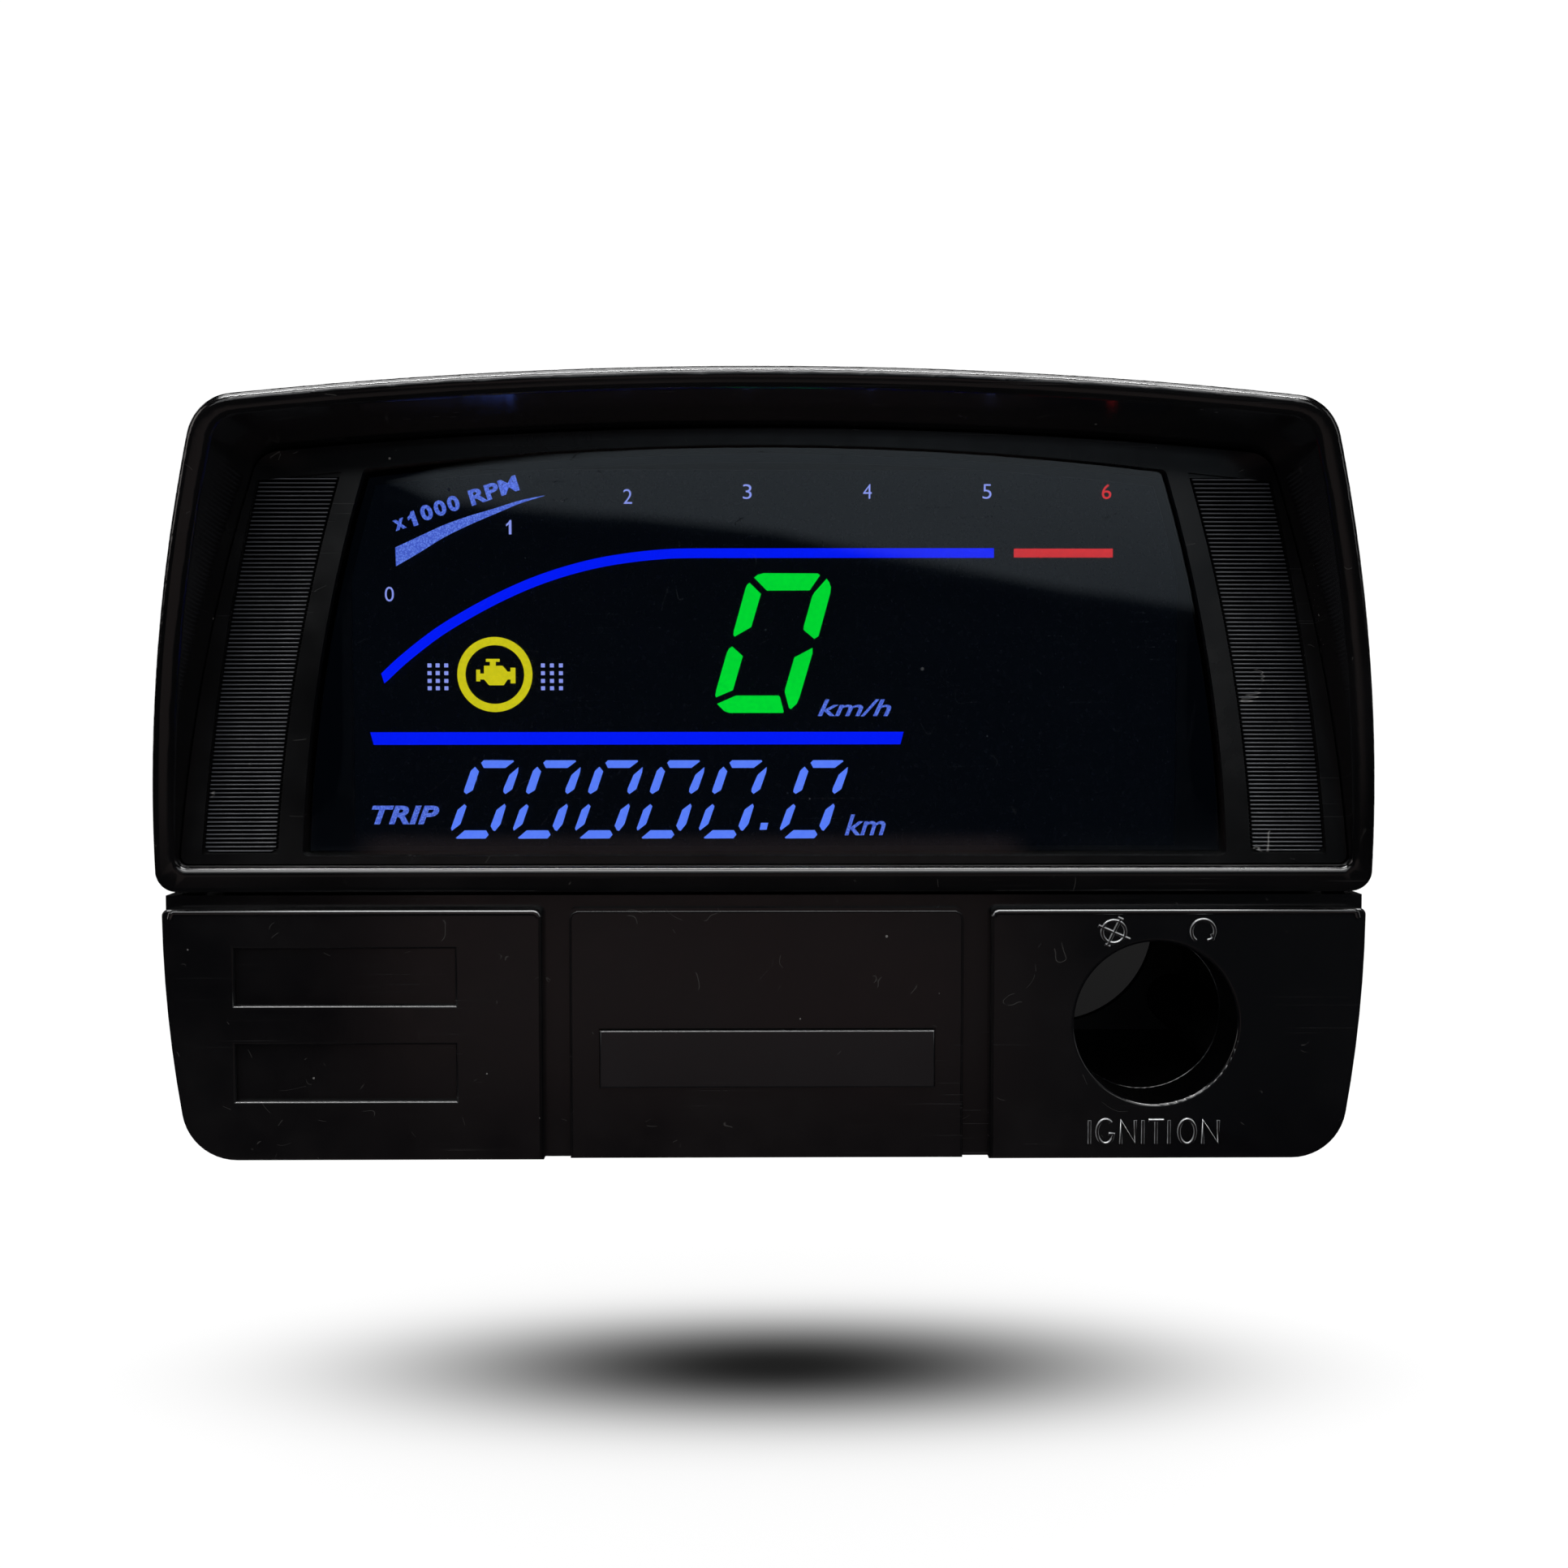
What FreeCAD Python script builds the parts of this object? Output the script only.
import FreeCAD, Part
import math
import os
import Sketcher
from FreeCAD import Placement, Rotation
from FreeCAD import Vector as V

# Motorcycle instrument cluster. Millimetres, +X to the rider's right, +Z up, the display faces -Y,
# so "front" is towards -Y and "back" towards +Y. The origin is the centre of the two-stud mounting
# pattern, on the plane where the rubber dampers meet the bracket.

doc = FreeCAD.newDocument("instrument_cluster")
dims = doc.addObject("Spreadsheet::Sheet", "dims")   # the driving dimensions
bits = doc.addObject("Spreadsheet::Sheet", "bits")   # sizes and places of the small inside parts
rows = {"dims": 0, "bits": 0}

DRIVING = {
    # depth stations, measured back from the mounting plane
    "window_y": -73.0,        # front face of the display window
    "parting_y": -53.0,       # where the front shells meet the rear case
    "rear_face_y": -3.0,      # outside of the rear wall
    # hood
    "hood_front_y": -101.0,
    "hood_top": 38.7, "hood_top_back": 36.4, "hood_top_radius": 678.0, "hood_bottom": -28.2,
    "hood_wall": 3.05, "hood_floor": 3.7,
    "cavity_top_front": 36.0, "cavity_top_back": 33.35,
    "visor_low": 3.0, "visor_slope": 0.34, "visor_ref": -24.4,
    "corner_top": 6.8, "corner_low": 2.7, "rim_round": 1.1,
    # lower fascia
    "fascia_top": -29.0, "fascia_bottom": -65.3, "fascia_wall": 2.3, "fascia_corner": 7.5,
    "pad_depth": 2.0, "edge_round": 0.35, "panel_depth": 1.0, "recess_depth": 0.9,
    "lock_x": 53.5, "lock_z": -46.5,
    "lock_bore": 11.2, "lock_collar": 13.2, "lock_collar_len": 10.0,
    # rear case
    "case_draft": 4.0, "case_draft_low": 1.3, "case_wall": 2.4, "case_round": 6.0,
    "lock_rear_x": 50.7, "lock_rear_z": -41.9, "lock_rear_bore": 17.4,
    "post_radius": 4.2, "well_radius": 3.4, "screw_clear": 1.7, "screw_pilot": 1.55,
    "stud_x": 31.0, "stud_radius": 3.0, "stud_len": 16.0,
    "damper_thick": 3.0, "damper_radius": 8.0,
    # drive input
    "drive_z": -17.0, "collar_thread": 6.0, "collar_flange": 11.0,
    "bush_outer": 4.6, "bush_bore": 3.05,
    "shaft_radius": 3.0, "square_socket": 2.7, "magnet_radius": 8.0,
    # trip reset push-button
    "reset_x": -45.0, "reset_y": -27.0, "reset_barrel": 5.9, "reset_stem": 3.2,
    # harness
    "harness_x": -24.0, "harness_z": -46.5, "cable_radius": 2.8,
    # window and bezel
    "bezel_thick": 1.4, "bezel_skirt": 1.0, "bezel_depth": 7.0, "bezel_gap": 0.15,
    "window_top": 31.8, "window_radius": 440.0, "window_bottom": -23.3,
    "lens_lap": 1.15, "lens_thick": 2.0,
    # board
    "board_y": -61.0, "board_thick": 1.6,
}


def cell(sheet, alias, value):
    """One dimension: its name in column A, its plain number in column B under that alias."""
    rows[sheet.Name] += 1
    row = rows[sheet.Name]
    sheet.set("A%d" % row, alias)
    sheet.set("B%d" % row, repr(round(float(value), 6)))
    sheet.setAlias("B%d" % row, alias)


for alias, value in DRIVING.items():
    cell(dims, alias, value)
doc.recompute()


# ---------------------------------------------------------------- driven numbers
class Driven(float):
    """A number that carries its sheet formula through sums, differences and a change of sign.
    Any other arithmetic gives a plain number."""

    def __new__(cls, value, formula):
        number = float.__new__(cls, value)
        number.formula = formula
        return number

    def __add__(self, other):
        formula = "(%s + %s)" % (self.formula, getattr(other, "formula", other))
        return Driven(float(self) + float(other), formula)

    def __sub__(self, other):
        formula = "(%s - %s)" % (self.formula, getattr(other, "formula", other))
        return Driven(float(self) - float(other), formula)

    def __neg__(self):
        return Driven(-float(self), "-" + self.formula)


class Sizes:
    """Reads the driving dimensions: size.window_y is the cell with the alias window_y."""

    def __getattr__(self, alias):
        return Driven(float(dims.get(alias)), "dims." + alias)


size = Sizes()


def drive(thing, path, amount):
    """Bind a property to the sheet where its amount comes from the sheet."""
    if isinstance(amount, Driven):
        thing.setExpression(path, amount.formula)


# ---------------------------------------------------------------- sketches
def new_body(label):
    body = doc.addObject("PartDesign::Body", label)
    body.Label = label
    return body


def sketch(body, name, role, offset=0.0, at=(0.0, 0.0)):
    """A sketch on one of the body's origin planes, moved along its normal and in the plane."""
    s = body.newObject("Sketcher::SketchObject", name)
    base_plane = [f for f in body.Origin.OriginFeatures if f.Role == role][0]
    s.AttachmentSupport = [(base_plane, "")]
    s.MapMode = "FlatFace"
    s.AttachmentOffset = Placement(V(at[0], at[1], offset), Rotation())
    for axis, amount in zip("xyz", (at[0], at[1], offset)):
        drive(s, "AttachmentOffset.Base." + axis, amount)
    return s


def facing(body, name, y, at=(0.0, 0.0)):
    """A sketch across the depth at y: its x is +X, its y is +Z and its normal is -Y."""
    return sketch(body, name, "XZ_Plane", -y, at)


# Each drawing function fills an empty sketch and returns it.
def dimension(s, kind, where, amount):
    index = s.addConstraint(Sketcher.Constraint(kind, *where, float(amount)))
    drive(s, "Constraints[%d]" % index, amount)


def rect(s, width, height):
    """A rectangle centred on the sketch's origin."""
    a, b = width / 2.0, height / 2.0
    corners = [V(-a, -b, 0), V(a, -b, 0), V(a, b, 0), V(-a, b, 0)]
    s.addGeometry([Part.LineSegment(corners[i], corners[(i + 1) % 4]) for i in range(4)], False)
    for i in range(4):
        s.addConstraint(Sketcher.Constraint("Coincident", i, 2, (i + 1) % 4, 1))
    for i, kind in enumerate(["Horizontal", "Vertical", "Horizontal", "Vertical"]):
        s.addConstraint(Sketcher.Constraint(kind, i))
    s.addConstraint(Sketcher.Constraint("Symmetric", 0, 1, 2, 1, -1, 1))
    dimension(s, "DistanceX", (0, 1, 0, 2), width)
    dimension(s, "DistanceY", (1, 1, 1, 2), height)
    return s


def circle(s, radius):
    """A circle on the sketch's origin."""
    s.addGeometry(Part.Circle(V(0, 0, 0), V(0, 0, 1), float(radius)), False)
    s.addConstraint(Sketcher.Constraint("Coincident", 0, 3, -1, 1))
    dimension(s, "Radius", (0,), radius)
    return s


def circles(s, centres, radius):
    """Equal circles at the given centres; the first carries the radius."""
    for i, (x, z) in enumerate(centres):
        s.addGeometry(Part.Circle(V(x, z, 0), V(0, 0, 1), float(radius)), False)
        if i == 0:
            dimension(s, "Radius", (0,), radius)
        else:
            s.addConstraint(Sketcher.Constraint("Equal", 0, i))
    return s


def chain(s, edges):
    """Lines and arcs that meet end to end, fixed where they are."""
    s.addGeometry(edges, False)
    for i in range(len(edges)):
        s.addConstraint(Sketcher.Constraint("Block", i))
    return s


def poly(s, points):
    ends = points[1:] + points[:1]
    return chain(s, [Part.LineSegment(V(*a, 0), V(*b, 0)) for a, b in zip(points, ends)])


# ---------------------------------------------------------------- body features
# Unless reversed, a pad grows along its sketch's normal and a pocket cuts against it.
def feature(body, kind, name, s, length, reverse):
    """With no length, it goes right through the body, both ways."""
    f = body.newObject("PartDesign::" + kind, name)
    f.Profile = s
    if length is None:
        f.Type = 1
        f.Midplane = True
    else:
        f.Length = float(length)
        drive(f, "Length", length)
    if reverse:
        f.Reversed = True
    s.Visibility = False
    doc.recompute()
    return f


def pad(body, name, s, length, reverse=False):
    before = 0.0 if body.Shape.isNull() else body.Shape.Volume
    f = feature(body, "Pad", name, s, length, reverse)
    assert f.Shape.Volume > before + 1e-6, "pad %s added nothing" % name


def pocket(body, name, s, length=None, reverse=False):
    before = body.Shape.Volume
    f = feature(body, "Pocket", name, s, length, reverse)
    assert f.Shape.Volume < before - 1e-6, "pocket %s cut nothing" % name


def posts(body, stem, y, centres, radius, length, reverse=False):
    """Round posts that start at y, each with its own sketch."""
    for i, at in enumerate(centres):
        s = circle(facing(body, "%s_%d" % (stem, i), y, at), radius)
        pad(body, "%s_pad_%d" % (stem, i), s, length, reverse)


def revolve(body, name, s, axis):
    f = body.newObject("PartDesign::Revolution", name)
    f.Profile = s
    f.ReferenceAxis = (s, [axis])
    f.Angle = 360.0
    doc.recompute()


def loft(body, kind, name, stem, front, back):
    """Ruled loft between two stations, each a y and an outline.
    It starts at the back one, so that the solid's faces point outwards."""
    sketches = {}
    for end, (y, edges) in (("front", front), ("back", back)):
        sketches[end] = chain(facing(body, "%s_%s_outline" % (stem, end), y), edges)
    f = body.newObject("PartDesign::" + kind, name)
    f.Profile = sketches["back"]
    f.Sections = [sketches["front"]]
    f.Ruled = True
    doc.recompute()
    assert not f.Shape.isNull(), "%s failed: %s" % (name, f.getStatusString())


def fillet(body, name, wanted, radius):
    """Round those edges of the body's last feature that pass the test."""
    last = body.Tip
    names = ["Edge%d" % (i + 1) for i, edge in enumerate(last.Shape.Edges) if wanted(edge)]
    assert names, "%s found no edges" % name
    f = body.newObject("PartDesign::Fillet", name)
    f.Base = (last, names)
    f.Radius = float(radius)
    drive(f, "Radius", radius)
    doc.recompute()
    assert not f.Shape.isNull(), "%s failed on %s: %s" % (name, names, f.getStatusString())


def middle(edge):
    return edge.valueAt((edge.FirstParameter + edge.LastParameter) / 2.0)


def end_to_end(edge):
    return edge.Vertexes[-1].Point - edge.Vertexes[0].Point


def runs_along_y(edge):
    span = end_to_end(edge)
    return len(edge.Vertexes) == 2 and abs(span.y) > 0.8 * span.Length and span.Length > 5


def y_span(edge):
    return abs(end_to_end(edge).y)


def lies_at(edge, y):
    """Whether the edge lies in the plane across the depth at y."""
    ends_there = all(abs(v.Point.y - y) < 0.01 for v in edge.Vertexes)
    return ends_there and abs(middle(edge).y - y) < 0.01


# ---------------------------------------------------------------- plain solids
def bit_cells(name, **amounts):
    for key, amount in amounts.items():
        cell(bits, "%s_%s" % (name, key), amount)
    bits.recompute()


def box(name, x, z, width, height, front, depth):
    """A box centred on x and z that reaches back from its front face. Its sizes live in bits."""
    bit_cells(name, width=width, height=height, depth=depth, x=x, z=z, y=front)
    b = doc.addObject("Part::Box", name)
    b.Label = name
    for path, formula in (
        ("Length", "bits.{0}_width"),
        ("Width", "bits.{0}_depth"),
        ("Height", "bits.{0}_height"),
        ("Placement.Base.x", "bits.{0}_x - bits.{0}_width / 2"),
        ("Placement.Base.y", "bits.{0}_y"),
        ("Placement.Base.z", "bits.{0}_z - bits.{0}_height / 2"),
    ):
        b.setExpression(path, formula.format(name))
    return b


def cylinder(name, x, y, z, radius, length):
    """A cylinder that reaches back along +Y from its front face."""
    bit_cells(name, radius=radius, length=length, x=x, y=y, z=z)
    c = doc.addObject("Part::Cylinder", name)
    c.Label = name
    c.Placement = Placement(V(x, y, z), Rotation(V(0, 0, 1), V(0, 1, 0)))
    c.setExpression("Radius", "bits.%s_radius" % name)
    c.setExpression("Height", "bits.%s_length" % name)
    for axis in "xyz":
        c.setExpression("Placement.Base." + axis, "bits.%s_%s" % (name, axis))
    return c


def fuse(label, members):
    f = doc.addObject("Part::MultiFuse", label)
    f.Label = label
    f.Shapes = list(members)
    return f


def cut(label, base, *tools):
    c = doc.addObject("Part::Cut", label)
    c.Label = label
    c.Base = base
    c.Tool = tools[0] if len(tools) == 1 else fuse(label + "_tools", tools)
    return c


def group(label, members):
    c = doc.addObject("Part::Compound", label)
    c.Label = label
    c.Links = list(members)
    return c


def shaped(label, shape, at=Placement()):
    f = doc.addObject("Part::Feature", label)
    f.Label = label
    f.Shape = shape
    f.Placement = at
    return f


def turned(profile, centres, direction):
    """Copies of one turned piece. profile: (radius, distance along the axis) pairs."""
    points = [V(radius, 0, along) for radius, along in profile]
    face = Part.Face(Part.makePolygon(points + [points[0]]))
    solid = face.revolve(V(0, 0, 0), V(0, 0, 1), 360)
    copies = []
    for centre in centres:
        copy = solid.copy()
        copy.Placement = Placement(V(*centre), Rotation(V(0, 0, 1), V(*direction)))
        copies.append(copy)
    return copies


# ---------------------------------------------------------------- outlines, seen from the front
def circle_through(a, b, c):
    """Centre and radius of the circle through three points."""
    (ax, ay), (bx, by), (cx, cy) = a, b, c
    aa, bb, cc = ax * ax + ay * ay, bx * bx + by * by, cx * cx + cy * cy
    d = 2 * (ax * (by - cy) + bx * (cy - ay) + cx * (ay - by))
    x = (aa * (by - cy) + bb * (cy - ay) + cc * (ay - by)) / d
    y = (aa * (cx - bx) + bb * (ax - cx) + cc * (bx - ax)) / d
    return (x, y), math.hypot(ax - x, ay - y)


# Right-hand sides, each a circle through three (x, z) points. The left-hand ones mirror them.
HOOD_SIDE = circle_through((74.2, 19.5), (78.55, 1.25), (82.05, -23.0))
FASCIA_SIDE = circle_through((82.15, -31.8), (81.5, -46.0), (79.8, -59.5))
WINDOW_SIDE = circle_through((54.8, 24.4), (60.0, 1.3), (62.4, -21.0))
FIELD_INNER = circle_through((57.2, 26.0), (62.3, 5.0), (65.7, -21.5))
FIELD_OUTER = circle_through((68.5, 24.2), (72.6, 4.2), (75.9, -21.5))
WAIST_Z = -28.5     # where the rear case's upper and lower sides meet


def side_x(side, z, inset=0.0):
    (centre_x, centre_z), radius = side
    return centre_x + math.sqrt((radius - inset) ** 2 - (z - centre_z) ** 2)


def meet_top(side, inset, top, radius):
    """Where a side circle meets the crowned top, found by halving."""
    low, high = top - 12.0, top + 2.0
    for _ in range(80):
        z = (low + high) / 2.0
        x = side_x(side, z, inset)
        if z < top - radius + math.sqrt(radius ** 2 - x ** 2):
            low = z
        else:
            high = z
    z = (low + high) / 2.0
    return side_x(side, z, inset), z


def side_points(side, inset, start, end):
    """Three (x, z) points along a side, from the height start to the height end."""
    return [(side_x(side, z, inset), z) for z in (start, (start + end) / 2.0, end)]


def arc(points, mirror=1):
    return Part.Arc(*[V(mirror * x, z, 0) for x, z in points])


def level(x, z):
    """A level line from x across to -x."""
    return Part.LineSegment(V(x, z, 0), V(-x, z, 0))


def arch(side, inset, top, radius, bottom):
    """Crowned top, bowed sides, flat bottom."""
    corner_x, corner_z = meet_top(side, inset, top, radius)
    points = side_points(side, inset, corner_z, bottom)
    return [
        arc([(-corner_x, corner_z), (0, top), (corner_x, corner_z)]),
        arc(points),
        level(points[-1][0], bottom),
        arc(points[::-1], -1),
    ]


def hood_arch(inset, top, bottom):
    return arch(HOOD_SIDE, inset, top, size.hood_top_radius, bottom)


def window_arch(side_inset, top_inset, bottom_inset):
    """The window opening's outline, drawn in on each side. Negative insets go outwards."""
    top, bottom = size.window_top - top_inset, size.window_bottom + bottom_inset
    return arch(WINDOW_SIDE, side_inset, top, size.window_radius, bottom)


def tub(inset, low_inset):
    """The rear case's outline: the hood's outline and the fascia's, joined at the waist."""
    top, bottom = size.hood_top_back - inset, size.fascia_bottom + low_inset
    corner_x, corner_z = meet_top(HOOD_SIDE, inset, top, size.hood_top_radius)
    upper = side_points(HOOD_SIDE, inset, corner_z, WAIST_Z)
    lower = [upper[-1]] + side_points(FASCIA_SIDE, inset, WAIST_Z, bottom)[1:]
    return [
        arc([(-corner_x, corner_z), (0, top), (corner_x, corner_z)]),
        arc(upper),
        arc(lower),
        level(lower[-1][0], bottom),
        arc(lower[::-1], -1),
        arc(upper[::-1], -1),
    ]


def fascia_outline(inset):
    top, bottom = size.fascia_top - inset, size.fascia_bottom + inset
    points = side_points(FASCIA_SIDE, inset, top, bottom)
    return [level(-points[0][0], top), arc(points),
            level(points[-1][0], bottom), arc(points[::-1], -1)]


# ---------------------------------------------------------------- places shared by several pieces
def pairs(*places):
    """Each (x, z) place twice: mirrored to the left, then on the right."""
    return [(side * x, z) for x, z in places for side in (-1, 1)]


window_y, parting_y, rear_y = size.window_y, size.parting_y, size.rear_face_y
drive_z = size.drive_z
board_back = size.board_y + size.board_thick
cavity_bottom = size.hood_bottom + size.hood_floor

UPPER_POSTS = pairs((62.0, 25.5), (72.0, -19.0))
FASCIA_POSTS = pairs((71.0, -55.0), (22.0, -33.6))
EARS = pairs((63.5, 26.0), (74.4, -9.0))
BOARD_POSTS = pairs((62.5, 17.5), (68.0, -7.0))
STUDS = pairs((size.stud_x, 0.0))
FLANGE_X = 14.0                    # screws beside the drive input
FLANGE_SCREWS = pairs((FLANGE_X, drive_z))

CAVITY_TOP_ROUND, CAVITY_LOW_ROUND = 4.0, 1.2      # inside the hood, and around the bezel
BADGE_AT, BADGE_SEAT = (0.2, -51.4), 1.6           # badge centre and the depth of its seat
OUTSIDE = 1.0                      # a cut starts this far outside the face it goes through
EAR_BACK = 11.0                    # back of the bezel's ears, behind the window's face
FLANGE_THICK = 2.2                 # flange and lugs of the cable collar
SENSOR_BOARD_BACK, SENSOR_BOARD_THICK = 20.0, 1.4  # the first is its distance from the rear face
sensor_board_front = rear_y - (SENSOR_BOARD_BACK + SENSOR_BOARD_THICK)


# ---------------------------------------------------------------- hood
def visor_face_y(z):
    """The visor's front face leans forward towards the top."""
    return window_y - (size.visor_low + size.visor_slope * (z - size.visor_ref))


def on_visor_face(edge):
    ends_there = all(abs(v.Point.y - visor_face_y(v.Point.z)) < 0.02 for v in edge.Vertexes)
    return ends_there and abs(middle(edge).y - visor_face_y(middle(edge).z)) < 0.05


def hood_case():
    body = new_body("hood_case")
    loft(body, "AdditiveLoft", "hood_shell", "hood",
         (size.hood_front_y, hood_arch(0.0, size.hood_top, size.hood_bottom)),
         (parting_y, hood_arch(0.0, size.hood_top_back, size.hood_bottom)))
    fillet(body, "hood_top_corners",
           lambda edge: runs_along_y(edge) and middle(edge).z > 0, size.corner_top)
    fillet(body, "hood_low_corners",
           lambda edge: (runs_along_y(edge) and middle(edge).z < size.hood_bottom + 0.3
                         and abs(middle(edge).x) > 75),
           size.corner_low)

    wall, cavity_top = size.hood_wall, size.cavity_top_front
    loft(body, "SubtractiveLoft", "hood_cavity", "cavity",
         (size.hood_front_y, hood_arch(wall, cavity_top, cavity_bottom)),
         (parting_y, hood_arch(wall, size.cavity_top_back, cavity_bottom)))
    corner_x = meet_top(HOOD_SIDE, wall, cavity_top, size.hood_top_radius)[0]

    def on_cavity_corner(edge):
        point = middle(edge)
        return (runs_along_y(edge) and 20 < point.z < 36.0
                and 60 < abs(point.x) < side_x(HOOD_SIDE, point.z, 2.0)
                and abs(abs(edge.Vertexes[0].Point.x) - corner_x) < 1.5)

    fillet(body, "cavity_top_corners", on_cavity_corner, CAVITY_TOP_ROUND)
    fillet(body, "cavity_low_corners",
           lambda edge: (runs_along_y(edge) and abs(middle(edge).z - cavity_bottom) < 0.2
                         and abs(middle(edge).x) > 70),
           CAVITY_LOW_ROUND)

    low, high, far_front = -40.0, 50.0, -140.0     # the cut reaches well past the hood
    s = poly(sketch(body, "visor_slant", "YZ_Plane"),
             [(visor_face_y(low), low), (visor_face_y(high), high),
              (far_front, high), (far_front, low)])
    pocket(body, "visor_cut", s)
    fillet(body, "visor_rim", on_visor_face, size.rim_round)

    # Screw bosses behind the bezel, each tied to the side wall by a web.
    boss_length = 6.0
    for i, (x, z) in enumerate(UPPER_POSTS):
        if z < 0:
            wall_x = side_x(HOOD_SIDE, z - 3.0, 1.4)
        else:
            wall_x = side_x(HOOD_SIDE, z + 3.4, 2.4)
        web_x = math.copysign((abs(x) + wall_x) / 2, x)
        s = rect(facing(body, "boss_web_%d" % i, parting_y, (web_x, z)),
                 wall_x - abs(x), 2 * size.post_radius - 1.2)
        pad(body, "boss_web_pad_%d" % i, s, boss_length)
        s = circle(facing(body, "boss_%d" % i, parting_y, (x, z)), size.post_radius)
        pad(body, "boss_pad_%d" % i, s, boss_length)
    s = circles(facing(body, "boss_pilots", parting_y), UPPER_POSTS, size.screw_pilot)
    pocket(body, "boss_pilot_holes", s, boss_length + 0.5, reverse=True)

    # Ears that carry the bezel.
    for i, (x, z) in enumerate(EARS):
        if z > 0:
            shift, width, height = math.copysign(1.8, x), 8.6, 5.0
        else:
            shift, width, height = 0.0, 6.4, 8.0
        s = facing(body, "ear_%d" % i, window_y + EAR_BACK, (x + shift, z))
        pad(body, "ear_pad_%d" % i, rect(s, width, height), 3.0)
    s = circles(facing(body, "ear_holes", window_y + (EAR_BACK + OUTSIDE)), EARS, 1.25)
    pocket(body, "ear_hole_cut", s, 6.0, reverse=True)
    return body


# ---------------------------------------------------------------- lower fascia
def lower_fascia():
    body = new_body("lower_fascia")
    depth = parting_y - window_y
    s = chain(facing(body, "fascia_outline", parting_y), fascia_outline(0.0))
    pad(body, "fascia_block", s, depth)
    fillet(body, "fascia_corners",
           lambda edge: runs_along_y(edge) and middle(edge).z < -60, size.fascia_corner)
    s = chain(facing(body, "fascia_inside", parting_y), fascia_outline(size.fascia_wall))
    pocket(body, "fascia_hollow", s, depth - size.pad_depth - size.fascia_wall, reverse=True)

    # Cuts in the front: a channel under the hood, two upright ones between the three panels,
    # the sunk centre panel and two recesses in the left one.
    # name, centre x and z, width, height, depth
    for name, x, z, width, height, sunk in (
        ("top_channel", 0.0, -28.0, 180.0, 5.4, size.pad_depth),
        ("left_channel", -28.7, -48.0, 3.6, 40.0, size.pad_depth),
        ("right_channel", 28.9, -48.0, 3.6, 40.0, size.pad_depth),
        ("centre_panel", 0.1, -48.0, 54.4, 40.0, size.panel_depth),
        ("upper_recess", -57.4, -40.0, 30.0, 7.8, size.recess_depth),
        ("lower_recess", -57.4, -53.2, 30.0, 7.8, size.recess_depth),
    ):
        s = rect(facing(body, name, window_y, (x, z)), width, height)
        pocket(body, name + "_cut", s, sunk)
    fillet(body, "panel_corner_rounds",
           lambda edge: (len(edge.Vertexes) == 2 and y_span(edge) > 0.5 and edge.Length < 2.6
                         and middle(edge).y < window_y + 2.0 and middle(edge).z > -32.0),
           0.9)
    s = rect(facing(body, "badge_seat", window_y, BADGE_AT), 46.2, 8.2)
    pocket(body, "badge_seat_cut", s, BADGE_SEAT)

    # Ignition lock bore with its collar.
    lock_at = (size.lock_x, size.lock_z)
    collar_start = 2.0
    s = circle(facing(body, "lock_collar", window_y + collar_start, lock_at), size.lock_collar)
    pad(body, "lock_collar_pad", s, size.lock_collar_len - collar_start, reverse=True)
    fillet(body, "pad_edge_rounds", lambda edge: lies_at(edge, window_y), size.edge_round)
    s = circle(facing(body, "lock_bore", window_y - OUTSIDE, lock_at), size.lock_bore)
    pocket(body, "lock_bore_cut", s, 20.0)

    def on_bore_mouth(edge):
        point = middle(edge)
        from_axis = math.hypot(point.x - size.lock_x, point.z - size.lock_z)
        return lies_at(edge, window_y) and abs(from_axis - size.lock_bore) < 0.05

    fillet(body, "lock_bore_round", on_bore_mouth, 0.5)

    posts(body, "fascia_boss", parting_y, FASCIA_POSTS, size.post_radius,
          depth - size.pad_depth - 1.0)
    s = circles(facing(body, "fascia_pilots", parting_y), FASCIA_POSTS, size.screw_pilot)
    pocket(body, "fascia_pilot_holes", s, 12.0, reverse=True)
    return body


def badge_plate():
    """Blank plate that sits in the fascia's seat and stands proud of the centre panel."""
    body = new_body("badge_plate")
    thick = 1.5
    s = rect(facing(body, "badge_outline", window_y + BADGE_SEAT, BADGE_AT), 45.9, 7.9)
    pad(body, "badge_pad", s, thick)
    fillet(body, "badge_edges",
           lambda edge: lies_at(edge, window_y + BADGE_SEAT - thick), 0.25)
    return body


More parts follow.
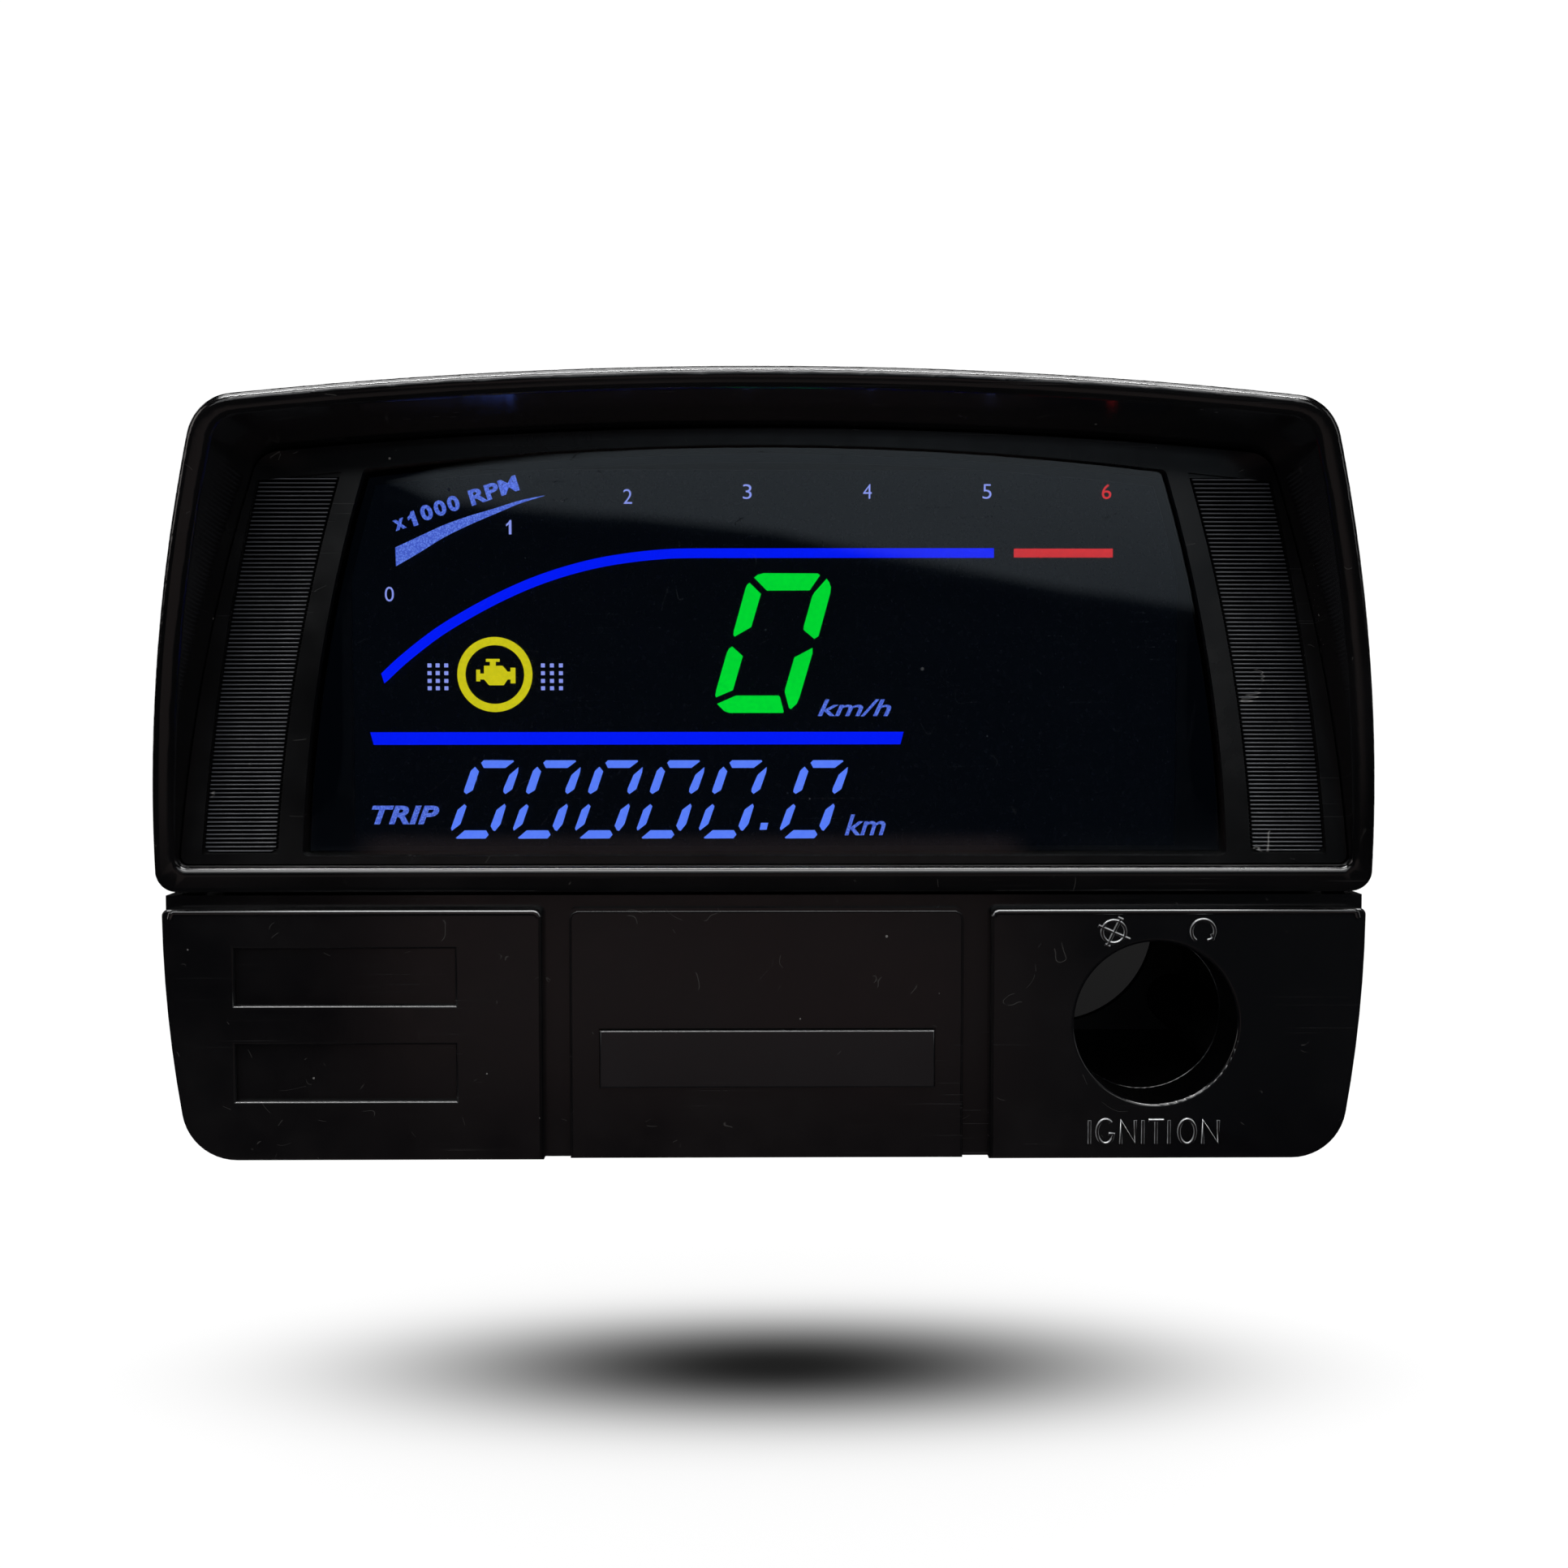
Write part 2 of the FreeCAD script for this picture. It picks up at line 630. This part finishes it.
# ---------------------------------------------------------------- rear case
def rear_case():
    body = new_body("rear_case")
    outside = rear_y + OUTSIDE
    step = 0.35                # the case stands this far inside the front shells' outline
    corner_round = 7.0
    draft, draft_low, wall = size.case_draft, size.case_draft_low, size.case_wall
    loft(body, "AdditiveLoft", "case_shell", "case",
         (parting_y, tub(step, step)),
         (rear_y, tub(step + draft, step + draft_low)))
    fillet(body, "case_top_corners",
           lambda edge: runs_along_y(edge) and middle(edge).z > 10, corner_round)
    fillet(body, "case_low_corners",
           lambda edge: runs_along_y(edge) and middle(edge).z < -55, corner_round)
    fillet(body, "case_back_edge", lambda edge: lies_at(edge, rear_y), size.case_round)
    loft(body, "SubtractiveLoft", "case_hollow", "inside",
         (parting_y, tub(step + wall, step + wall)),
         (rear_y - wall, tub(step + draft + wall + 1.6, step + draft_low + wall + 0.6)))

    # Posts for the case screws, with deep wells for the heads, open to the back.
    screw_posts = UPPER_POSTS + FASCIA_POSTS
    depth = rear_y - parting_y
    posts(body, "case_post", parting_y, screw_posts, size.post_radius, depth - 1.5, reverse=True)
    s = circles(facing(body, "screw_wells", outside), screw_posts, size.well_radius)
    pocket(body, "screw_well_cut", s, depth - 5.0, reverse=True)
    s = circles(facing(body, "screw_holes", parting_y + 10.0), screw_posts, size.screw_clear)
    pocket(body, "screw_hole_cut", s, 12.0, reverse=True)

    lock_at = (size.lock_rear_x, size.lock_rear_z)
    s = circle(facing(body, "lock_opening", outside, lock_at), size.lock_rear_bore)
    pocket(body, "lock_opening_cut", s, 8.0, reverse=True)

    # Stud seats: a thick boss inside the wall for each stud's head.
    posts(body, "stud_boss", rear_y - wall - 3.5, STUDS, 10.0, 4.5, reverse=True)
    s = circles(facing(body, "stud_holes", outside), STUDS, size.stud_radius + 0.45)
    pocket(body, "stud_hole_cut", s, 9.0, reverse=True)

    # Drive input hole and the posts of the sensor board.
    s = circle(facing(body, "drive_hole", outside, (0.0, drive_z)), 6.6)
    pocket(body, "drive_hole_cut", s, 6.0, reverse=True)
    posts(body, "sensor_post", rear_y - SENSOR_BOARD_BACK, FLANGE_SCREWS, 2.8, 18.5, reverse=True)
    s = facing(body, "sensor_pilots", rear_y - (SENSOR_BOARD_BACK + 0.5))
    pocket(body, "sensor_pilot_cut", circles(s, FLANGE_SCREWS, 1.15), 7.5)
    # Two blind holes from outside take the screws of the collar's flange.
    s = circles(facing(body, "collar_pilots", outside), FLANGE_SCREWS, 1.3)
    pocket(body, "collar_pilot_cut", s, 8.0, reverse=True)

    harness_at = (size.harness_x, size.harness_z)
    s = circle(facing(body, "harness_hole", outside, harness_at), 6.2)
    pocket(body, "harness_hole_cut", s, 6.0, reverse=True)

    # Boss and hole of the trip reset push-button, in the underside.
    reset_at = (size.reset_x, size.reset_y)
    boss_bottom = -65.0
    pad(body, "reset_boss_pad",
        circle(sketch(body, "reset_boss", "XY_Plane", boss_bottom, reset_at), 9.0), 7.0)
    s = sketch(body, "reset_hole", "XY_Plane", boss_bottom - OUTSIDE, reset_at)
    pocket(body, "reset_hole_cut", circle(s, size.reset_barrel + 0.1), 12.0, reverse=True)
    return body


# ---------------------------------------------------------------- inner bezel
def inner_bezel():
    body = new_body("inner_bezel")
    front = window_y - size.bezel_thick
    inset = size.hood_wall + size.bezel_gap
    # The top clears the falling roof of the hood's cavity at the bezel's back edge.
    back = front + size.bezel_depth
    fall = size.cavity_top_back - size.cavity_top_front
    part_way = (back - size.hood_front_y) / (parting_y - size.hood_front_y)
    top = size.cavity_top_front + fall * part_way - size.bezel_gap

    s = chain(facing(body, "bezel_outline", front),
              hood_arch(inset, top, cavity_bottom + size.bezel_gap))
    pad(body, "bezel_block", s, size.bezel_depth, reverse=True)
    fillet(body, "bezel_top_corners",
           lambda edge: runs_along_y(edge) and middle(edge).z > 10, CAVITY_TOP_ROUND)
    fillet(body, "bezel_low_corners",
           lambda edge: runs_along_y(edge) and middle(edge).z < -20, CAVITY_LOW_ROUND)

    # Hollow the back, leaving a skirt at the top and sides; the bottom is left open.
    s = chain(facing(body, "bezel_back", window_y + 10.0),
              hood_arch(inset + size.bezel_skirt, top - size.bezel_skirt, cavity_bottom - 1.0))
    pocket(body, "bezel_back_cut", s, 10.0, reverse=True)
    s = chain(facing(body, "bezel_window", window_y - 5.0), window_arch(0.0, 0.0, 0.0))
    pocket(body, "bezel_window_cut", s, 10.0)
    fillet(body, "window_corners",
           lambda edge: (50 < abs(middle(edge).x) < 64.0 and y_span(edge) > 1.0
                         and edge.Length < 2.0),
           0.8)

    # A shallow field sunk into the front on each side of the window.
    inner = side_points(FIELD_INNER, 0.0, 28.2, -23.0)
    outer = side_points(FIELD_OUTER, 0.0, 27.0, -23.0)
    for name, mirror in (("left", -1), ("right", 1)):
        top_line, bottom_line = [
            Part.LineSegment(V(mirror * a[0], a[1], 0), V(mirror * b[0], b[1], 0))
            for a, b in ((inner[0], outer[0]), (outer[-1], inner[-1]))
        ]
        edges = [top_line, arc(outer, mirror), bottom_line, arc(inner[::-1], mirror)]
        s = chain(facing(body, name + "_field", front), edges)
        pocket(body, name + "_field_cut", s, 0.6)

    # Posts for the display board, then posts that meet the hood's ears.
    root = 0.3                 # the posts start this far inside the front plate
    posts(body, "board_post", window_y - root, BOARD_POSTS, 2.8,
          size.board_y - window_y + root, reverse=True)
    s = circles(facing(body, "board_pilots", size.board_y), BOARD_POSTS, 1.15)
    pocket(body, "board_pilot_cut", s, 8.0, reverse=True)
    posts(body, "ear_post", window_y - root, EARS, 2.0, 8.2, reverse=True)
    s = circles(facing(body, "ear_pilots", window_y + 8.0), EARS, 1.05)
    pocket(body, "ear_pilot_cut", s, 6.0, reverse=True)
    return body


# ---------------------------------------------------------------- window, gasket, display stack
lens_back = window_y + size.lens_thick


def display_lens():
    body = new_body("display_lens")
    s = chain(facing(body, "lens_outline", window_y), window_arch(-size.lens_lap, -0.75, -0.7))
    pad(body, "lens_pad", s, size.lens_thick, reverse=True)
    fillet(body, "lens_corners", lambda edge: y_span(edge) > 1.5, 1.0)
    return body


def lens_gasket():
    body = new_body("lens_gasket")
    s = chain(facing(body, "gasket_outline", lens_back), window_arch(-0.9, -0.5, -0.5))
    pad(body, "gasket_pad", s, 0.8, reverse=True)
    s = chain(facing(body, "gasket_hole", lens_back - OUTSIDE), window_arch(0.3, 0.8, 0.4))
    pocket(body, "gasket_cut", s, 4.0)
    return body


def arch_block(edges, front, back):
    """An outline as a solid between two depths."""
    face = Part.Face(Part.Wire(Part.__sortEdges__([edge.toShape() for edge in edges])))
    face.rotate(V(0, 0, 0), V(1, 0, 0), 90)
    face.translate(V(0, front, 0))
    return face.extrude(V(0, back - front, 0))


def mask_film():
    """Film on the back of the window, open over the display."""
    thick = 0.12
    width, depth, height = 112.0, 4.0, 60.0        # block that squares off the opening's sides
    opening = arch_block(window_arch(1.5, 2.0, 1.1), lens_back - 1.0, lens_back + 1.0)
    opening = opening.common(
        Part.makeBox(width, depth, height, V(-width / 2, lens_back - depth / 2, -25.0)))
    film = arch_block(window_arch(0.4, 0.9, 0.5), lens_back, lens_back + thick)
    return shaped("mask_film", film.cut(opening))


def lcd_holder():
    return cut(
        "lcd_holder",
        box("holder_block", 0.0, 3.05, 118.0, 54.3, window_y + 2.8, 9.0),
        box("holder_window", 0.0, 3.3, 112.4, 51.2, window_y + 2.0, 3.0),
        box("holder_inside", 0.0, 3.3, 114.6, 52.6, window_y + 3.15, 10.0),
    )


# name, centre z, width, height, front behind the window's face, thickness
DISPLAY_SHEETS = [
    ("front_polariser", 3.3, 113.6, 51.8, 3.2, 0.2),
    ("lcd_front_glass", 3.3, 114.0, 52.0, 3.42, 1.1),
    ("lcd_rear_glass", 2.9, 114.0, 44.4, 4.54, 1.1),
    ("rear_polariser", 2.9, 113.0, 43.6, 5.66, 0.2),
    ("colour_film", 2.9, 113.0, 43.6, 5.9, 0.15),
    ("diffuser_sheet", 2.9, 113.0, 43.6, 6.1, 0.5),
]


def display_sheets():
    return [box(name, 0.0, z, width, height, window_y + behind, thick)
            for name, z, width, height, behind, thick in DISPLAY_SHEETS]


LEDS = [(x, z) for z in (-8.0, 13.0) for x in (-45.0, -27.0, -9.0, 9.0, 27.0, 45.0)]


def backlight_tray():
    """Tray open to the front, with a hole in its back for each LED."""
    return cut(
        "backlight_tray",
        box("tray_block", 0.0, 2.9, 112.0, 43.0, window_y + 6.7, 5.2),
        box("tray_inside", 0.0, 2.9, 109.6, 40.6, window_y + 6.0, 4.9),
        *[box("tray_hole_%d" % i, x, z, 4.6, 4.2, window_y + 10.0, 3.0)
          for i, (x, z) in enumerate(LEDS)]
    )


def backlight_leds():
    return group("backlight_leds", [box("led_%d" % i, x, z, 3.5, 2.8, window_y + 10.75, 1.2)
                                    for i, (x, z) in enumerate(LEDS)])


def elastomer_strips():
    return group("elastomer_strips", [box(name, 0.0, z, 108.0, 2.2, window_y + 4.56, 7.4)
                                      for name, z in (("strip_low", -21.2), ("strip_high", 26.9))])


# ---------------------------------------------------------------- main board and its components
# Right-hand half of the board's outline, upwards: x, z.
BOARD_HALF = [(74.5, -23.0), (68.5, 14.0), (67.0, 21.5), (58.5, 21.5), (58.5, 28.5)]
SOLDER_GAP = 0.02


def main_pcb():
    body = new_body("main_pcb")
    points = BOARD_HALF + [(-x, z) for x, z in BOARD_HALF[::-1]]
    s = poly(facing(body, "board_outline", size.board_y), points)
    pad(body, "board_pad", s, size.board_thick, reverse=True)
    s = circles(facing(body, "board_holes", size.board_y - OUTSIDE), BOARD_POSTS, 1.6)
    pocket(body, "board_hole_cut", s, 4.0)
    # Round notches clear the two lower ears.
    s = circles(facing(body, "board_notches", size.board_y - OUTSIDE), EARS[2:], 3.6)
    pocket(body, "board_notch_cut", s, 4.0)
    return body


def microcontroller():
    x, z = -6.0, 4.0
    pin_count, pin_pitch, pin_row = 11, 1.0, 6.9
    members = [box("mcu_case", x, z, 12.0, 12.0, board_back + 0.1, 1.4)]
    for k in range(pin_count):
        pin_x = x + pin_pitch * (k - (pin_count - 1) / 2)
        for row, pin_z in (("t", z + pin_row), ("b", z - pin_row)):
            members.append(box("mcu_pin_%s%d" % (row, k), pin_x, pin_z, 0.4, 1.8,
                               board_back + SOLDER_GAP, 0.5))
    return fuse("microcontroller", members)


def voltage_regulator():
    return cut("voltage_regulator",
               box("regulator_case", 34.0, 12.0, 6.6, 9.4, board_back + SOLDER_GAP, 2.3),
               cylinder("regulator_mark", 31.6, board_back + 2.0, 15.6, radius=0.5, length=1.0))


def filter_capacitors():
    foot = board_back + SOLDER_GAP
    return group("filter_capacitors", [
        cylinder("capacitor_a", 46.0, foot, 10.0, radius=4.0, length=10.5),
        cylinder("capacitor_b", 46.0, foot, -2.0, radius=3.15, length=7.5),
    ])


HEADER_X, HEADER_Z = -36.0, -6.0


def board_header():
    return cut(
        "board_header",
        box("header_case", HEADER_X, HEADER_Z, 22.0, 8.0, board_back + SOLDER_GAP, 9.0),
        box("header_well", HEADER_X, HEADER_Z, 19.6, 5.6, board_back + 1.6, 9.0),
    )


def header_pins():
    pitch, width = 2.5, 0.64
    return group("header_pins", [
        box("header_pin_%d" % k, HEADER_X + pitch * (k - 3), HEADER_Z, width, width,
            board_back + 1.65, 6.0)
        for k in range(7)
    ])


# ---------------------------------------------------------------- screws
# label, (x, z) places, y under the head, head radius and height, shank radius and length,
# way the shank points along Y, size of the cross slot
case_seat = parting_y + 6.0
SCREWS = [
    ("case_screws", UPPER_POSTS, case_seat, 3.0, 2.2, 1.5, 11.0, -1, 1.1),
    ("fascia_screws", FASCIA_POSTS, case_seat, 3.0, 2.2, 1.5, 15.0, -1, 1.1),
    ("board_screws", BOARD_POSTS, board_back, 2.5, 1.6, 1.1, 7.0, -1, 0.9),
    ("bezel_screws", EARS, window_y + EAR_BACK, 2.0, 1.4, 1.0, 7.5, -1, 0.8),
    ("collar_screws", FLANGE_SCREWS, rear_y + FLANGE_THICK, 2.8, 2.0, 1.25, 6.0, -1, 1.1),
    ("sensor_screws", FLANGE_SCREWS, sensor_board_front, 2.2, 1.5, 1.1, 6.5, 1, 0.8),
]


def screws(label, places, seat_y, head_radius, head_height, shank_radius, length, way, cross):
    """One set of pan-head screws with a cross slot."""
    bit_cells(label, head_radius=head_radius, shank_radius=shank_radius, length=length)
    head, shank, tip = (float(bits.get("%s_%s" % (label, key)))
                        for key in ("head_radius", "shank_radius", "length"))
    profile = [
        (0, -head_height), (head * 0.72, -head_height), (head, -head_height * 0.45), (head, 0),
        (shank, 0), (shank, tip - shank), (0.3, tip), (0, tip),
    ]
    slot_width, slot_depth, slot_length = 0.55, 1.1, 2.6 * cross
    centres = [(x, seat_y, z) for x, z in places]
    solids = []
    for screw in turned(profile, centres, (0, way, 0)):
        place = screw.Placement
        for angle in (0, 90):
            slot = Part.makeBox(slot_length, slot_width, slot_depth,
                                V(-slot_length / 2, -slot_width / 2, -head_height - 0.1))
            turn = Placement(V(0, 0, 0), Rotation(V(0, 0, 1), angle))
            slot.Placement = place.multiply(turn)
            screw = screw.cut(slot)
        solids.append(screw.Solids[0])
    return shaped(label, Part.makeCompound(solids))


# ---------------------------------------------------------------- drive input on the rear wall
def axial(label, profile, x=0.0, z=drive_z):
    """A body turned about the line along Y through x and z.
    profile: (distance behind the rear face, radius) pairs."""
    body = new_body(label)
    s = poly(sketch(body, label + "_profile", "YZ_Plane"),
             [(rear_y + behind, radius) for behind, radius in profile])
    revolve(body, label + "_turn", s, "H_Axis")
    body.Placement = Placement(V(x, 0, z), Rotation())
    return body


def cable_collar():
    bore, thread, flange, spigot = size.bush_outer, size.collar_thread, size.collar_flange, 6.5
    body = axial("cable_collar", [
        (-10.0, bore), (14.0, bore), (14.0, thread - 0.6), (13.4, thread),
        (FLANGE_THICK, thread), (FLANGE_THICK, flange), (0.0, flange),
        (0.0, spigot), (-10.0, spigot),
    ])
    # Two lugs take the flange screws. The body's own origin is on the drive axis.
    lugs = pairs((FLANGE_X, 0.0))
    posts(body, "lug", rear_y, lugs, 3.6, FLANGE_THICK, reverse=True)
    s = circles(facing(body, "lug_holes", rear_y + 3.0), lugs, 1.6)
    pocket(body, "lug_hole_cut", s, 6.0, reverse=True)
    return body


def shaft_bush():
    bore, outer = size.bush_bore, size.bush_outer - 0.01
    return axial("shaft_bush", [(-10.0, bore), (4.0, bore), (4.0, outer), (-10.0, outer)])


def thrust_washer():
    bore, outer = size.bush_bore + 0.1, 6.2
    return axial("thrust_washer",
                 [(-10.8, bore), (-10.02, bore), (-10.02, outer), (-10.8, outer)])


def drive_shaft():
    radius, chamfer = size.shaft_radius, 0.4
    body = axial("drive_shaft", [
        (-18.0, 0.0), (8.0, 0.0), (8.0, radius - chamfer), (8.0 - chamfer, radius),
        (-18.0 + chamfer, radius), (-18.0, radius - chamfer),
    ])
    s = rect(facing(body, "square_socket", rear_y + 9.0), size.square_socket, size.square_socket)
    pocket(body, "square_socket_cut", s, 13.0, reverse=True)
    return body


def magnet_rotor():
    bore, outer, chamfer = size.shaft_radius, size.magnet_radius, 0.4
    return axial("magnet_rotor", [
        (-15.0, bore), (-11.0, bore), (-11.0, outer - chamfer), (-11.0 - chamfer, outer),
        (-15.0 + chamfer, outer), (-15.0, outer - chamfer),
    ])


def shaft_clip():
    """A washer on the shaft behind the bush, with a slot open upwards."""
    back = V(0, 1, 0)
    cut_y = rear_y + 4.0
    slot = 3.2
    clip = Part.makeCylinder(size.bush_outer - 0.3, 0.8, V(0, rear_y + 4.2, drive_z), back)
    clip = clip.cut(Part.makeCylinder(size.shaft_radius, 2.0, V(0, cut_y, drive_z), back))
    clip = clip.cut(Part.makeBox(slot, 2.0, 6.0, V(-slot / 2, cut_y, drive_z)))
    return shaped("shaft_clip", clip)


def sensor_board():
    body = new_body("sensor_board")
    s = facing(body, "sensor_board_outline", sensor_board_front, (0.0, drive_z))
    pad(body, "sensor_board_pad", rect(s, 34.0, 16.0), SENSOR_BOARD_THICK, reverse=True)
    s = circles(facing(body, "sensor_board_holes", rear_y - 19.0), FLANGE_SCREWS, 1.5)
    pocket(body, "sensor_board_cut", s, 5.0, reverse=True)
    return body


def hall_sensor():
    front = rear_y - SENSOR_BOARD_BACK + SOLDER_GAP
    return group("hall_sensor", [box("hall_case", 0.0, drive_z + 5.0, 4.0, 3.2, front, 1.5)])


# ---------------------------------------------------------------- trip reset push-button
def on_reset_axis(z=0.0):
    return Placement(V(size.reset_x, size.reset_y, z), Rotation())


def upright(label, profile):
    """A body turned about the reset button's vertical axis. profile: (radius, z) pairs."""
    body = new_body(label)
    s = poly(sketch(body, label + "_profile", "XZ_Plane"), profile)
    revolve(body, label + "_turn", s, "V_Axis")
    body.Placement = on_reset_axis()
    return body


def reset_switch_body():
    barrel, bore = size.reset_barrel, size.reset_stem + 0.1
    return upright("reset_switch_body", [
        (bore, -66.8), (8.0, -66.8), (8.3, -66.5), (8.3, -65.0), (barrel, -65.0),
        (barrel, -53.0), (0.0, -53.0), (0.0, -55.0), (4.2, -55.0), (4.2, -63.5), (bore, -63.5),
    ])


def reset_button():
    stem = size.reset_stem
    return upright("reset_button", [
        (0.0, -71.2), (2.6, -71.2), (stem, -70.6), (stem, -63.45),
        (4.1, -63.45), (4.1, -61.5), (0.0, -61.5),
    ])


def reset_nut():
    body = new_body("reset_nut")
    corner = 9.2
    angles = [math.radians(60 * k) for k in range(6)]
    s = poly(sketch(body, "nut_outline", "XY_Plane", -57.9),
             [(corner * math.cos(angle), corner * math.sin(angle)) for angle in angles])
    pad(body, "nut_pad", s, 2.6)
    s = circle(sketch(body, "nut_hole", "XY_Plane", -59.0), size.reset_barrel + 0.05)
    pocket(body, "nut_cut", s, 6.0, reverse=True)
    body.Placement = on_reset_axis()
    return body


def reset_spring():
    """A coil of eight-sided wire."""
    pitch, height, radius, wire = 1.45, 5.6, 3.3, 0.29
    helix = Part.makeHelix(pitch, height, radius)
    angles = [math.radians(45 * k) for k in range(9)]
    section = Part.makePolygon(
        [V(radius + wire * math.cos(angle), 0, wire * math.sin(angle)) for angle in angles])
    coil = Part.Wire(helix.Edges).makePipeShell([section], True, True)
    # The sweep may come back as a shell rather than a solid.
    if coil.ShapeType != "Solid":
        coil = Part.Solid(Part.Shell(coil.Faces))
    return shaped("reset_spring", coil, on_reset_axis(-61.15))


# ---------------------------------------------------------------- harness
cable_x, cable_z, cable_radius = size.harness_x, size.harness_z, size.cable_radius
cable_start = rear_y - 12.0
BEND = 8.0                         # radius of the cable's turn to the right
bend_y = rear_y + 8.5              # where the turn starts
plug_x, plug_y = cable_x + 28.0, bend_y + BEND


def cable_grommet():
    bore = cable_radius + 0.05
    return axial("cable_grommet", [
        (-4.2, bore), (8.0, bore), (8.0, cable_radius + 1.4), (2.2, 5.2), (2.2, 8.4),
        (0.02, 8.4), (0.02, 6.1), (-2.45, 6.1), (-2.45, 8.0), (-4.2, 8.0),
    ], cable_x, cable_z)


def harness_cable():
    """Runs straight back out of the case, then turns to the right."""
    body = new_body("harness_cable")
    section = circle(facing(body, "cable_section", cable_start, (cable_x, cable_z)),
                     cable_radius)
    half = math.sqrt(0.5)          # sine and cosine of half the quarter turn
    turn_start, turn_end = V(cable_x, bend_y, 0), V(cable_x + BEND, plug_y, 0)
    turn_middle = V(cable_x + BEND * (1 - half), bend_y + BEND * half, 0)
    path = chain(sketch(body, "cable_path", "XY_Plane", cable_z), [
        Part.LineSegment(V(cable_x, cable_start, 0), turn_start),
        Part.Arc(turn_start, turn_middle, turn_end),
        Part.LineSegment(turn_end, V(plug_x, plug_y, 0)),
    ])
    pipe = body.newObject("PartDesign::AdditivePipe", "cable_pipe")
    pipe.Profile = section
    pipe.Spine = (path, ["Edge1", "Edge2", "Edge3"])
    doc.recompute()
    return body


def harness_plug():
    return cut("harness_plug",
               box("plug_block", plug_x + 11.0, cable_z, 22.0, 14.0, plug_y - 5.0, 10.0),
               box("plug_mouth", plug_x + 18.0, cable_z, 12.0, 11.0, plug_y - 3.5, 7.0))


def plug_terminals():
    pitch, depth = 2.4, 1.8
    return group("plug_terminals", [
        box("plug_pin_%d" % k, plug_x + 16.0, cable_z + pitch * (k - 1.5), 8.0, 0.8,
            plug_y - depth / 2, depth)
        for k in range(4)
    ])


# ---------------------------------------------------------------- studs and dampers
def on_studs(label, profile):
    """One turned piece on each stud's axis. profile: (radius, distance behind the rear face)."""
    centres = [(x, rear_y, z) for x, z in STUDS]
    return shaped(label, Part.makeCompound(turned(profile, centres, (0, 1, 0))))


def mounting_studs():
    """Head inside the case, a thicker shank as far as the mounting plane, then the stud."""
    radius, shank, head = size.stud_radius, size.stud_radius + 0.4, 5.5
    chamfer = 0.8
    start = size.damper_thick
    end = start + size.stud_len
    return on_studs("mounting_studs", [
        (0, -9.6), (head, -9.6), (head, -5.95), (shank, -5.95), (shank, start),
        (radius, start), (radius, end - chamfer), (radius - chamfer, end), (0, end),
    ])


def stud_dampers():
    bore, outer, thick = size.stud_radius + 0.45, size.damper_radius, size.damper_thick
    return on_studs("stud_dampers", [(bore, 0.0), (outer, 0.0), (outer, thick), (bore, thick)])


# ---------------------------------------------------------------- build, check and export
parts = [
    hood_case(), lower_fascia(), badge_plate(), rear_case(), inner_bezel(),
    display_lens(), lens_gasket(), mask_film(), lcd_holder(), *display_sheets(),
    backlight_tray(), backlight_leds(), elastomer_strips(),
    main_pcb(), microcontroller(), voltage_regulator(), filter_capacitors(),
    board_header(), header_pins(),
    *[screws(*row) for row in SCREWS],
    cable_collar(), shaft_bush(), thrust_washer(), drive_shaft(), magnet_rotor(), shaft_clip(),
    sensor_board(), hall_sensor(),
    reset_switch_body(), reset_button(), reset_nut(), reset_spring(),
    cable_grommet(), harness_cable(), harness_plug(), plug_terminals(),
    mounting_studs(), stud_dampers(),
]

doc.recompute()
os.makedirs("parts", exist_ok=True)
failed = [obj.Name + ":" + ",".join(obj.State) for obj in doc.Objects
          if "Invalid" in obj.State or "Error" in obj.State]
if failed:
    raise SystemExit("failed objects: " + "; ".join(failed))
for part in parts:
    shape = part.Shape
    if shape.isNull() or not shape.isValid() or not shape.Solids:
        raise SystemExit("bad shape: " + part.Label)
for part in parts:
    part.Shape.exportStep("parts/%s.step" % part.Label)
